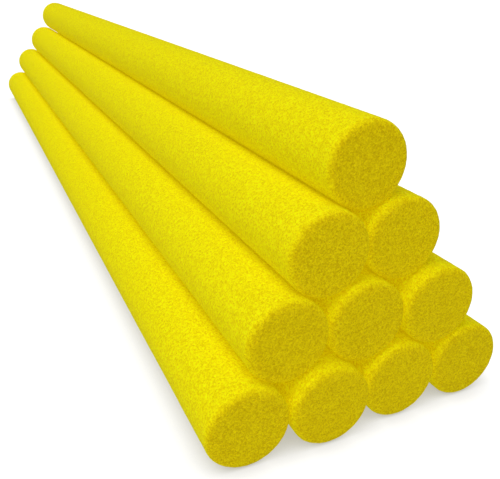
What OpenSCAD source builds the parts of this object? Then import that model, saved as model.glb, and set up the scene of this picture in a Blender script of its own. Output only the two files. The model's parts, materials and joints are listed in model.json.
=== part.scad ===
// A loose pyramid stack of ten solid-core foam flotation rods, four in the bottom row and one on top.
// The rods lie along Y with their front ends towards -Y. Z is up, and the origin is on the floor
// under the middle of the stack. Millimetres throughout.

/* [Rod] */
// Outside diameter of a rod
rod_d = 61; // [45:1:80]
// Nominal length of a rod, from one cut face to the other
rod_l = 1320; // [600:10:1600]
// Radius of the softened edge round each cut face
edge_r = 4.5; // [1:0.5:12]

/* [Stack] */
// Clearance between rods that lie against each other
gap = 0.3; // [0.1:0.1:1]
// How uneven the front ends are, as a share of the hand-stacked amount
stagger = 1; // [0:0.1:2]
// How uneven the cut lengths are, as a share of the usual cutting tolerance
unevenness = 1; // [0:0.1:2]

/* [Hidden] */

// Each list below goes row by row from the floor up, and from the left within a row
// How far each front end sits behind the foremost one
setbacks = [[2, 0, 6, 8], [10, 11, 10], [17, 21], [28]];
// How much longer than the nominal length each rod was cut
cut_errors = [[25, 5, -10, 15], [18, -5, 10], [-29, 0], [-40]];

foam_yellow = [0.93, 0.86, 0.04];
round_facets = 96;

rod_r = rod_d / 2;
// Between the axes of two rods that touch
pitch = rod_d + gap;
// A rod nests in the valley between the two below it, so the axes stand in equilateral triangles
row_rise = pitch * sin(60);

// How far a rod's front and rear ends lie behind the foremost front end
function front_of(row, place) = stagger * setbacks[row][place];
function length_of(row, place) = rod_l + unevenness * cut_errors[row][place];
function rear_of(row, place) = front_of(row, place) + length_of(row, place);

// The stack reaches from the foremost front end to the rearmost rear end
stack_l = max([for (row = [0:3]) for (place = [0:3 - row]) rear_of(row, place)]);

// Half of a rod's long section: a straight side with a rounded corner at each cut face
module rod_section(cut_l) {
    core_r = rod_r - edge_r;
    square([core_r, cut_l]);
    translate([0, edge_r]) square([rod_r, cut_l - 2 * edge_r]);
    for (y = [edge_r, cut_l - edge_r])
        translate([core_r, y]) circle(r = edge_r);
}

// One extruded rod, lying along Y from the origin backwards
module rod(cut_l) {
    rotate([-90, 0, 0])
        rotate_extrude($fn = round_facets) rod_section(cut_l);
}

// A rod in its place: row counts from 0 at the floor, place from 0 at the left
module stacked_rod(row, place) {
    across = (place - (3 - row) / 2) * pitch;
    along = front_of(row, place) - stack_l / 2;
    up = rod_r + row * row_rise;
    color(foam_yellow)
        translate([across, along, up]) rod(length_of(row, place));
}

// The four rods on the floor, numbered from the left
module bottom_rod(number) {
    stacked_rod(0, number - 1);
}

// The three rods in the valleys of the bottom row
module second_rod(number) {
    stacked_rod(1, number - 1);
}

// The two rods in the valleys of the second row
module third_rod(number) {
    stacked_rod(2, number - 1);
}

// The single rod that crowns the stack
module top_rod() {
    stacked_rod(3, 0);
}

bottom_rod(1);  // bottom_rod_1
bottom_rod(2);  // bottom_rod_2
bottom_rod(3);  // bottom_rod_3
bottom_rod(4);  // bottom_rod_4
second_rod(1);  // second_rod_1
second_rod(2);  // second_rod_2
second_rod(3);  // second_rod_3
third_rod(1);  // third_rod_1
third_rod(2);  // third_rod_2
top_rod();
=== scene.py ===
"""Ten solid-core foam flotation rods in a loose pyramid stack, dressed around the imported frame.

Every rod is closed-cell polyethylene foam: a pebbled skin along its flank, a sawn face at each end
and a softened edge between them. The frame gives each rod's place, width and length. Metres.
"""

from __future__ import annotations

import json
import logging
import math
from dataclasses import dataclass, field
from enum import Enum

import bmesh
import bpy
from mathutils import Matrix, Vector


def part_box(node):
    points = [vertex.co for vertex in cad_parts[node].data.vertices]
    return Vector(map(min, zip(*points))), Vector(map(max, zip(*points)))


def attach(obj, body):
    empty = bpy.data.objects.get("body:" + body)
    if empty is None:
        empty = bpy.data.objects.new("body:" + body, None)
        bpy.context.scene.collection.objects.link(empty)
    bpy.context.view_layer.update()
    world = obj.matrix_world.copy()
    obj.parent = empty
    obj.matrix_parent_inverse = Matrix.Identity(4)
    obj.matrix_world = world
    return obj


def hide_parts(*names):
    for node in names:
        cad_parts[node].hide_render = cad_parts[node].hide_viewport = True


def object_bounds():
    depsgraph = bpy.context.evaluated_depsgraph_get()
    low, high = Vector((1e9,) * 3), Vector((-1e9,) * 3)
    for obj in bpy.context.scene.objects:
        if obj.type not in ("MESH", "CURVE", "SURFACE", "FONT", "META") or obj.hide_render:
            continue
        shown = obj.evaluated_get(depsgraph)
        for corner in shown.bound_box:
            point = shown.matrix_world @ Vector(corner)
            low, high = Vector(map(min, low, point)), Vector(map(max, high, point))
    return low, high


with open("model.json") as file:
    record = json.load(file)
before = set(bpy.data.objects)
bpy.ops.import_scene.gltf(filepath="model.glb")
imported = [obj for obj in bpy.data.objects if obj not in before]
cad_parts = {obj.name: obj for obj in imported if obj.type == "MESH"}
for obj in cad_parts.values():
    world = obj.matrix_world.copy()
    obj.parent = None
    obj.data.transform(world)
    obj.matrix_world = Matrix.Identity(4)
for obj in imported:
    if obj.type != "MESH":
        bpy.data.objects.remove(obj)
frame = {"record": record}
cad_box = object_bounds()

log = logging.getLogger("foam_rods")

CUT_FACE = "cut_face"
SKIN_RELIEF = "skin_relief"


class Grain(Enum):
    """The patterns that roughen a rod's surface: Blender's texture type for each."""

    SWELL = "CLOUDS"
    PEBBLE = "VORONOI"


@dataclass(frozen=True)
class Colour:
    """A linear colour."""

    red: float
    green: float
    blue: float

    def rgba(self) -> tuple[float, float, float, float]:
        """Return the colour as a shader socket wants it."""
        return (self.red, self.green, self.blue, 1.0)


class NodeSheet:
    """A material's node tree, with short ways to add and join its nodes."""

    def __init__(self, name: str) -> None:
        """Start an empty material.

        Args:
            name: The material's name.
        """
        self.material = bpy.data.materials.new(name)
        self.material.use_nodes = True
        self.tree = self.material.node_tree
        self.tree.nodes.clear()

    def add(self, kind: str, **inputs: object) -> bpy.types.Node:
        """Add a node and set its sockets.

        Args:
            kind: The node's class name, without its ShaderNode prefix.
            **inputs: Socket values by the socket's name, with _ for a space.

        Returns:
            The new node.
        """
        node = self.tree.nodes.new("ShaderNode" + kind)
        for name, value in inputs.items():
            node.inputs[name.replace("_", " ")].default_value = value
        return node

    def join(self, output: bpy.types.NodeSocket, target: bpy.types.NodeSocket) -> None:
        """Link one socket to another."""
        self.tree.links.new(output, target)

    def blend(
        self,
        share: bpy.types.NodeSocket,
        low: Colour | bpy.types.NodeSocket,
        high: Colour | bpy.types.NodeSocket,
    ) -> bpy.types.NodeSocket:
        """Mix two colours.

        Args:
            share: How much of the second colour shows, from 0 to 1.
            low: The colour at 0, or the socket that gives it.
            high: The colour at 1, or the socket that gives it.

        Returns:
            The mixed colour's socket.
        """
        node = self.tree.nodes.new("ShaderNodeMix")
        node.data_type = "RGBA"
        for socket, colour in zip((node.inputs["A"], node.inputs["B"]), (low, high)):
            if isinstance(colour, Colour):
                socket.default_value = colour.rgba()
            else:
                self.join(colour, socket)
        self.join(share, node.inputs["Factor"])
        return node.outputs["Result"]

    def sums(self, operation: str, *terms: bpy.types.NodeSocket | float) -> bpy.types.NodeSocket:
        """Work out a sum.

        Args:
            operation: Blender's name for it, such as MULTIPLY.
            *terms: Sockets or plain numbers, in order.

        Returns:
            The answer's socket.
        """
        node = self.tree.nodes.new("ShaderNodeMath")
        node.operation = operation
        for place, term in enumerate(terms):
            if isinstance(term, (int, float)):
                node.inputs[place].default_value = term
            else:
                self.join(term, node.inputs[place])
        return node.outputs["Value"]

    def stretch(
        self,
        value: bpy.types.NodeSocket,
        source: tuple[float, float],
        target: tuple[float, float],
    ) -> bpy.types.NodeSocket:
        """Map a value from one range to another, clamped.

        Args:
            value: The value's socket.
            source: The range it is read on.
            target: The range it comes out on.

        Returns:
            The mapped value's socket.
        """
        node = self.add(
            "MapRange", From_Min=source[0], From_Max=source[1], To_Min=target[0], To_Max=target[1]
        )
        self.join(value, node.inputs["Value"])
        return node.outputs["Result"]


@dataclass(frozen=True)
class FoamTone:
    """The colours of one kind of foam surface, from its pits to its crowns."""

    pit: Colour
    crown: Colour


@dataclass(frozen=True)
class FoamFinish:
    """Yellow closed-cell foam: fine cells under a soft, matte skin, darker and more orange where it
    was sawn, partly the cut cells' own tone and partly painted shade.

    The painted glow is an even emission in the foam's own colour: painted light that brightens the
    shaded valleys between the rods, standing for the light that translucent foam carries into them.
    """

    name: str = "yellow_foam"
    skin: FoamTone = FoamTone(Colour(0.66, 0.49, 0.0), Colour(1.0, 0.98, 0.004))
    # The sawn ends' tone is darker and more orange than the skin: partly the cut cells' own colour,
    # partly painted shade.
    sawn_and_shade: FoamTone = FoamTone(Colour(0.47, 0.30, 0.0), Colour(0.86, 0.71, 0.004))
    cells_per_metre: float = 1200.0
    broad_cells: float = 760.0
    speckle: float = 0.5
    broad_share: float = 0.36
    dome_reach: tuple[float, float] = (0.05, 0.85)
    cell_spread: tuple[float, float] = (0.2, 0.8)
    relief: float = 0.0004
    bump_strength: float = 0.9
    roughness: tuple[float, float] = (0.78, 0.94)
    gloss: float = 0.06
    refraction: float = 1.4
    softness: float = 0.5
    softness_depth: float = 0.012
    softness_reach: tuple[float, float, float] = (1.0, 0.8, 0.05)
    # An even painted glow in the foam's own colour, which brightens its shaded valleys.
    painted_glow: Colour = Colour(0.96, 0.80, 0.0)
    painted_glow_strength: float = 0.14

    def build(self) -> bpy.types.Material:
        """Make the foam's material.

        Returns:
            A material that reads Object coordinates and the cut-face attribute.
        """
        sheet = NodeSheet(self.name)
        height = self.cells(sheet)
        shader = sheet.add(
            "BsdfPrincipled",
            IOR=self.refraction,
            Specular_IOR_Level=self.gloss,
            Subsurface_Weight=self.softness,
            Subsurface_Radius=self.softness_reach,
            Subsurface_Scale=self.softness_depth,
            # The emission is a painted glow: the whole foam glows evenly to lighten its shaded
            # valleys.
            Emission_Color=self.painted_glow.rgba(),
            Emission_Strength=self.painted_glow_strength,
        )
        sheet.join(self.tint(sheet, height), shader.inputs["Base Color"])
        sheet.join(sheet.stretch(height, (0.0, 1.0), self.roughness), shader.inputs["Roughness"])
        bump = sheet.add("Bump", Strength=self.bump_strength, Distance=self.relief)
        sheet.join(height, bump.inputs["Height"])
        sheet.join(bump.outputs["Normal"], shader.inputs["Normal"])
        output = sheet.add("OutputMaterial")
        sheet.join(shader.outputs["BSDF"], output.inputs["Surface"])
        return sheet.material

    def cells(self, sheet: NodeSheet) -> bpy.types.NodeSocket:
        """Make the height of the foam's cells, fine ones riding on broader ones.

        Args:
            sheet: The material's nodes.

        Returns:
            A height that is near 1 at a crown and near 0 in the pits between cells.
        """
        places = sheet.add("TexCoord").outputs["Object"]
        fine = sheet.add("TexVoronoi", Scale=self.cells_per_metre)
        broad = sheet.add("TexVoronoi", Scale=self.broad_cells)
        for cell in (fine, broad):
            sheet.join(places, cell.inputs["Vector"])
        dome = sheet.stretch(fine.outputs["Distance"], self.dome_reach, (1.0, 0.0))
        own = sheet.stretch(fine.outputs["Color"], self.cell_spread, (0.0, 1.0))
        patch = sheet.stretch(broad.outputs["Color"], self.cell_spread, (0.0, 1.0))
        parts = ((own, self.speckle), (patch, self.broad_share))
        height = sheet.sums("MULTIPLY", dome, 1.0 - self.speckle - self.broad_share)
        for part, share in parts:
            height = sheet.sums("ADD", height, sheet.sums("MULTIPLY", part, share))
        return height

    def tint(self, sheet: NodeSheet, height: bpy.types.NodeSocket) -> bpy.types.NodeSocket:
        """Colour the foam from its pits to its crowns, on the skin and on the sawn faces, whose
        darker, more orange tone is partly painted shade.

        Args:
            sheet: The material's nodes.
            height: The cells' height.

        Returns:
            The colour's socket.
        """
        sawn_and_shade = sheet.add("Attribute")
        sawn_and_shade.attribute_name = CUT_FACE
        skin_tint = sheet.blend(height, self.skin.pit, self.skin.crown)
        # The sawn faces' tone is partly the cut cells' own colour and partly painted shade on the end
        # faces.
        sawn_and_shade_tint = sheet.blend(height, self.sawn_and_shade.pit, self.sawn_and_shade.crown)
        return sheet.blend(sawn_and_shade.outputs["Fac"], skin_tint, sawn_and_shade_tint)


@dataclass(frozen=True)
class FloorFinish:
    """A white light table: matte acrylic lit from below, with a painted contact shadow that dims its
    glow close to whatever lies on it.

    It shows white, but throws less light back at the rods than it shows.
    """

    name: str = "light_table"
    acrylic: Colour = Colour(0.30, 0.30, 0.31)
    glow: Colour = Colour(1.0, 1.0, 1.0)
    roughness: float = 0.95
    gloss: float = 0.05
    shine_through: float = 0.95
    painted_shadow_reach: float = 0.026
    painted_shadow_level: float = 0.30
    bounced: float = 0.33

    def build(self) -> bpy.types.Material:
        """Make the floor's material.

        Returns:
            A material whose glow is dimmed near the rods, a painted contact shadow.
        """
        sheet = NodeSheet(self.name)
        shader = sheet.add(
            "BsdfPrincipled",
            Base_Color=self.acrylic.rgba(),
            Roughness=self.roughness,
            Specular_IOR_Level=self.gloss,
            Emission_Color=self.glow.rgba(),
        )
        # The ambient-occlusion node paints a contact shadow: it dims the floor's glow near the rods.
        painted_shadow_ao = sheet.add("AmbientOcclusion", Distance=self.painted_shadow_reach)
        strengths = (self.painted_shadow_level * self.shine_through, self.shine_through)
        light = sheet.stretch(painted_shadow_ao.outputs["AO"], (0.0, 1.0), strengths)
        seen = sheet.add("LightPath").outputs["Is Camera Ray"]
        share = sheet.stretch(seen, (0.0, 1.0), (self.bounced, 1.0))
        sheet.join(sheet.sums("MULTIPLY", light, share), shader.inputs["Emission Strength"])
        output = sheet.add("OutputMaterial")
        sheet.join(shader.outputs["BSDF"], output.inputs["Surface"])
        return sheet.material


@dataclass(frozen=True)
class Relief:
    """One layer of real unevenness, pressed inwards from a rod's surface.

    It covers the whole rod, or only the vertex group that where names.
    """

    grain: Grain
    size: float
    depth: float
    where: str = ""

    def press(self, rod: bpy.types.Object, title: str) -> None:
        """Add this layer to a rod as a Displace modifier.

        Args:
            rod: The rod's object.
            title: A name for the layer.
        """
        texture = bpy.data.textures.new(title, self.grain.value)
        texture.noise_scale = self.size
        layer = rod.modifiers.new(title, "DISPLACE")
        layer.texture = texture
        layer.texture_coords = "LOCAL"
        layer.strength = self.depth
        layer.mid_level = 1.0
        layer.vertex_group = self.where


@dataclass
class FoamRod:
    """One extruded rod of solid foam, sawn to length, where its CAD node lies."""

    node: str
    centre: Vector
    radius: float
    length: float
    edge_radius: float = 0.0045
    proud: float = 0.0001
    cap_cells: int = 48
    edge_steps: int = 7
    rings: int = 190
    fine_step: float = 0.0009
    fine_reach: float = 0.045
    fine_end: float = 0.180
    seam_gap: float = 1e-6
    layers: tuple[Relief, ...] = field(
        default=(
            Relief(Grain.SWELL, 0.060, 0.00025),
            Relief(Grain.SWELL, 0.007, 0.00025),
            Relief(Grain.PEBBLE, 0.003, 0.00025, SKIN_RELIEF),
        )
    )

    @classmethod
    def from_frame(cls, node: str) -> FoamRod:
        """Read a rod's size and place from its CAD node.

        Args:
            node: The node's name.

        Returns:
            The rod, not yet built.
        """
        low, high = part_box(node)
        return cls(node, (low + high) / 2, (high.x - low.x) / 2, high.y - low.y)

    def sawn_face(self) -> bmesh.types.BMesh:
        """Start the rod's front half with its flat sawn face, a grid drawn out into a disc.

        Returns:
            A mesh whose open rim is the inner end of the softened edge.
        """
        shell = bmesh.new()
        bmesh.ops.create_grid(
            shell, x_segments=self.cap_cells, y_segments=self.cap_cells, size=1.0
        )
        flat_radius = self.radius - self.edge_radius
        for vert in shell.verts:
            across, up = vert.co.x, vert.co.y
            reach = max(abs(across), abs(up))
            if reach > 0:
                turn = self.turn_of(across, up)
                vert.co = flat_radius * reach * Vector((math.cos(turn), math.sin(turn), 0))
        bmesh.ops.rotate(shell, verts=shell.verts, matrix=Matrix.Rotation(math.pi / 2, 3, "X"))
        bmesh.ops.translate(shell, verts=shell.verts, vec=(0, -self.length / 2, 0))
        return shell

    @staticmethod
    def turn_of(across: float, up: float) -> float:
        """Find the angle that spreads a square's outline evenly round a circle.

        Args:
            across: How far along the square the point lies from its centre.
            up: How far up it lies.

        Returns:
            The angle, in radians.
        """
        if abs(across) >= abs(up):
            return math.pi / 4 * up / across + (math.pi if across < 0 else 0)
        return math.pi / 2 - math.pi / 4 * across / up + (math.pi if up < 0 else 0)

    def draw_out(self, shell: bmesh.types.BMesh) -> None:
        """Extrude the open rim round the softened edge and along the flank to the middle.

        Args:
            shell: The mesh that sawn_face started.
        """
        rim = [edge for edge in shell.edges if edge.is_boundary]
        corner = self.radius - self.edge_radius
        radius, depth = corner, 0.0
        for step in range(1, self.edge_steps + 1):
            angle = math.pi / 2 * step / self.edge_steps
            next_radius = corner + self.edge_radius * math.sin(angle)
            next_depth = self.edge_radius * (1 - math.cos(angle))
            rim = self.pull(shell, rim, next_radius / radius, next_depth - depth)
            radius, depth = next_radius, next_depth
        reach = self.length / 2 - self.edge_radius
        before = set(shell.edges)
        rim = self.pull(shell, rim, 1.0, reach)
        before.update(rim)
        runs = [edge for edge in shell.edges if edge not in before]
        bmesh.ops.subdivide_edges(shell, edges=runs, cuts=self.rings - 1, use_grid_fill=True)
        start = self.edge_radius - self.length / 2
        ease = self.rings * self.fine_step / reach
        for vert in shell.verts:
            share = (vert.co.y - start) / reach
            if share > 0:
                vert.co.y = start + reach * (ease * share + (1 - ease) * share**3)

    @staticmethod
    def pull(
        shell: bmesh.types.BMesh, rim: list[bmesh.types.BMEdge], swell: float, along: float
    ) -> list[bmesh.types.BMEdge]:
        """Extrude an open rim.

        Args:
            shell: The mesh.
            rim: The rim's edges.
            swell: How many times wider the new rim is.
            along: How far along the rod it goes.

        Returns:
            The new rim's edges.
        """
        drawn = bmesh.ops.extrude_edge_only(shell, edges=rim)["geom"]
        verts = [part for part in drawn if isinstance(part, bmesh.types.BMVert)]
        bmesh.ops.scale(shell, verts=verts, vec=(swell, 1, swell))
        bmesh.ops.translate(shell, verts=verts, vec=(0, along, 0))
        return [part for part in drawn if isinstance(part, bmesh.types.BMEdge)]

    def close(self, shell: bmesh.types.BMesh) -> None:
        """Mirror the front half into the whole rod, and point its faces outwards.

        Args:
            shell: The drawn-out front half.
        """
        for vert in shell.verts:
            if vert.is_boundary:
                vert.co.y = 0
        bmesh.ops.mirror(
            shell,
            geom=shell.verts[:] + shell.edges[:] + shell.faces[:],
            matrix=Matrix.Identity(4),
            axis="Y",
            merge_dist=self.seam_gap,
        )
        bmesh.ops.recalc_face_normals(shell, faces=shell.faces)

    def mark(self, rod: bpy.types.Object) -> None:
        """Note on each vertex how far it belongs to a sawn face, and how much fine relief it takes.

        Args:
            rod: The rod's object, still centred on the origin.
        """
        depths = [self.length / 2 - abs(vert.co.y) for vert in rod.data.vertices]
        fine = rod.vertex_groups.new(name=SKIN_RELIEF)
        for number, depth in enumerate(depths):
            fade = (depth - self.fine_reach) / (self.fine_end - self.fine_reach)
            fine.add([number], 1.0 - min(max(fade, 0.0), 1.0), "REPLACE")
        # This cut-face mask also places the sawn tone's painted shade.
        sawn_and_shade = rod.data.attributes.new(CUT_FACE, "FLOAT", "POINT")
        sawn_and_shade.data.foreach_set("value", [max(0.0, 1.0 - depth / self.edge_radius) for depth in depths])

    def build(self, foam: bpy.types.Material) -> bpy.types.Object:
        """Model the rod in its place, press its relief into it and give it its foam.

        Args:
            foam: The foam's material.

        Returns:
            The finished rod.
        """
        shell = self.sawn_face()
        self.draw_out(shell)
        self.close(shell)
        wider = 1 + self.proud / self.radius
        longer = 1 + 2 * self.proud / self.length
        bmesh.ops.scale(shell, verts=shell.verts, vec=(wider, longer, wider))
        mesh = bpy.data.meshes.new(self.node + "_foam")
        shell.to_mesh(mesh)
        shell.free()
        rod = bpy.data.objects.new(self.node + "_foam", mesh)
        bpy.context.scene.collection.objects.link(rod)
        self.mark(rod)
        mesh.transform(Matrix.Translation(self.centre))
        for number, layer in enumerate(self.layers):
            layer.press(rod, f"{self.node}_relief_{number}")
        self.settle(rod)
        rod.data.shade_smooth()
        rod.data.materials.append(foam)
        return rod

    @staticmethod
    def settle(rod: bpy.types.Object) -> None:
        """Make the relief modifiers part of the rod's own mesh.

        Args:
            rod: The rod's object.
        """
        seen = rod.evaluated_get(bpy.context.evaluated_depsgraph_get())
        pressed = bpy.data.meshes.new_from_object(seen)
        rough = rod.data
        rod.modifiers.clear()
        rod.data = pressed
        name = rough.name
        bpy.data.meshes.remove(rough)
        pressed.name = name


@dataclass
class RodStack:
    """The pyramid of rods, in the order that it is stacked."""

    finish: FoamFinish = field(default_factory=FoamFinish)

    def build(self, bodies: dict[str, list[str]]) -> list[bpy.types.Object]:
        """Build every rod and join it to its body.

        Args:
            bodies: The CAD nodes of each moving body, by the body's name.

        Returns:
            The rods.
        """
        foam = self.finish.build()
        rods = []
        for body, nodes in bodies.items():
            for node in nodes:
                rod = FoamRod.from_frame(node).build(foam)
                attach(rod, body)
                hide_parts(node)
                rods.append(rod)
                log.info("%s: %d faces, rides on %s", rod.name, len(rod.data.polygons), body)
        return rods


@dataclass(frozen=True)
class SoftLamp:
    """A very broad, distant lamp that lights everything evenly from one side of the sky.

    Its place is given as degrees from overhead, and its spread in degrees too.
    """

    name: str
    from_left: float
    from_front: float
    strength: float
    spread: float

    def build(self) -> bpy.types.Object:
        """Hang the lamp.

        Returns:
            The lamp's object.
        """
        lamp = bpy.data.lights.new(self.name, "SUN")
        lamp.energy = self.strength
        lamp.angle = math.radians(self.spread)
        holder = bpy.data.objects.new(self.name, lamp)
        way = Vector(
            (math.tan(math.radians(self.from_left)), math.tan(math.radians(self.from_front)), -1)
        )
        holder.rotation_euler = way.to_track_quat("-Z", "Y").to_euler()
        bpy.context.scene.collection.objects.link(holder)
        return holder


@dataclass(frozen=True)
class FillPanel:
    """A large square panel of light that stands before the stack's front ends."""

    name: str
    place: tuple[float, float, float]
    aim: tuple[float, float, float]
    width: float
    power: float

    def build(self) -> bpy.types.Object:
        """Stand the panel up.

        Returns:
            The panel's object.
        """
        lamp = bpy.data.lights.new(self.name, "AREA")
        lamp.shape = "SQUARE"
        lamp.size = self.width
        lamp.energy = self.power
        holder = bpy.data.objects.new(self.name, lamp)
        holder.location = self.place
        way = Vector(self.aim) - Vector(self.place)
        holder.rotation_euler = way.to_track_quat("-Z", "Y").to_euler()
        bpy.context.scene.collection.objects.link(holder)
        return holder


@dataclass(frozen=True)
class Viewpoint:
    """The camera's place beside the stack's front ends, and the way it looks.

    Turn, dip and roll are in degrees, and the lens and the sensor's width in millimetres.
    """

    left_of_middle: float = 0.2261
    before_front: float = 0.2780
    above_floor: float = 0.3020
    turn: float = 25.11
    dip: float = 23.79
    roll: float = 1.247
    lens: float = 44.26
    sensor: float = 36.0
    nearest: float = 0.01

    def build(self, front: float) -> bpy.types.Object:
        """Set up the camera.

        Args:
            front: Where the foremost rod end lies along Y.

        Returns:
            The camera, made the scene's own.
        """
        camera = bpy.data.objects.new("camera", bpy.data.cameras.new("camera"))
        camera.data.sensor_width = self.sensor
        camera.data.lens = self.lens
        camera.data.clip_start = self.nearest
        camera.matrix_world = (
            Matrix.Translation((-self.left_of_middle, front - self.before_front, self.above_floor))
            @ Matrix.Rotation(-math.radians(self.turn), 4, "Z")
            @ Matrix.Rotation(math.radians(90 - self.dip), 4, "X")
            @ Matrix.Rotation(math.radians(self.roll), 4, "Z")
        )
        bpy.context.scene.collection.objects.link(camera)
        bpy.context.scene.camera = camera
        return camera


@dataclass
class Studio:
    """A white floor under a pale, even sky, with a soft lamp overhead and a panel in front."""

    floor_size: float = 60.0
    sky: float = 0.29
    backdrop: Colour = Colour(1.0, 1.0, 1.0)
    table: FloorFinish = field(default_factory=FloorFinish)
    lamps: tuple[SoftLamp | FillPanel, ...] = (
        SoftLamp("overhead_lamp", from_left=20, from_front=0, strength=1.64, spread=50),
        FillPanel(
            "front_panel", place=(-0.55, -1.90, 0.60), aim=(0.0, -0.60, 0.10), width=1.0, power=6.0
        ),
    )

    def build(self) -> None:
        """Lay the floor, light the scene and set how colour is shown."""
        self.lay_floor()
        self.hang_sky()
        for lamp in self.lamps:
            lamp.build()
        shown = bpy.context.scene.view_settings
        shown.view_transform = "Standard"
        shown.look = "None"

    def lay_floor(self) -> bpy.types.Object:
        """Lay the floor at the stack's foot.

        Returns:
            The floor's object.
        """
        sheet = bmesh.new()
        bmesh.ops.create_grid(sheet, x_segments=1, y_segments=1, size=self.floor_size / 2)
        mesh = bpy.data.meshes.new("studio_floor")
        sheet.to_mesh(mesh)
        sheet.free()
        floor = bpy.data.objects.new("studio_floor", mesh)
        mesh.materials.append(self.table.build())
        bpy.context.scene.collection.objects.link(floor)
        return floor

    def hang_sky(self) -> None:
        """Light the scene from all round, with a white backdrop where the sky itself is seen."""
        world = bpy.data.worlds.new("studio_sky")
        bpy.context.scene.world = world
        world.use_nodes = True
        tree = world.node_tree
        tree.nodes.clear()
        light = tree.nodes.new("ShaderNodeBackground")
        light.inputs["Strength"].default_value = self.sky
        seen = tree.nodes.new("ShaderNodeBackground")
        seen.inputs["Color"].default_value = self.backdrop.rgba()
        path = tree.nodes.new("ShaderNodeLightPath")
        either = tree.nodes.new("ShaderNodeMixShader")
        output = tree.nodes.new("ShaderNodeOutputWorld")
        tree.links.new(path.outputs["Is Camera Ray"], either.inputs[0])
        tree.links.new(light.outputs["Background"], either.inputs[1])
        tree.links.new(seen.outputs["Background"], either.inputs[2])
        tree.links.new(either.outputs["Shader"], output.inputs["Surface"])


def main() -> None:
    """Build the camera, the stack and the studio in turn."""
    logging.basicConfig(level=logging.INFO, format="%(message)s")
    Viewpoint().build(front=cad_box[0].y)
    bodies = frame["record"]["behaviour"]["bodies"]
    rods = RodStack().build(bodies)
    Studio().build()
    log.info("%d rods stacked", len(rods))


if __name__ == "__main__":
    main()
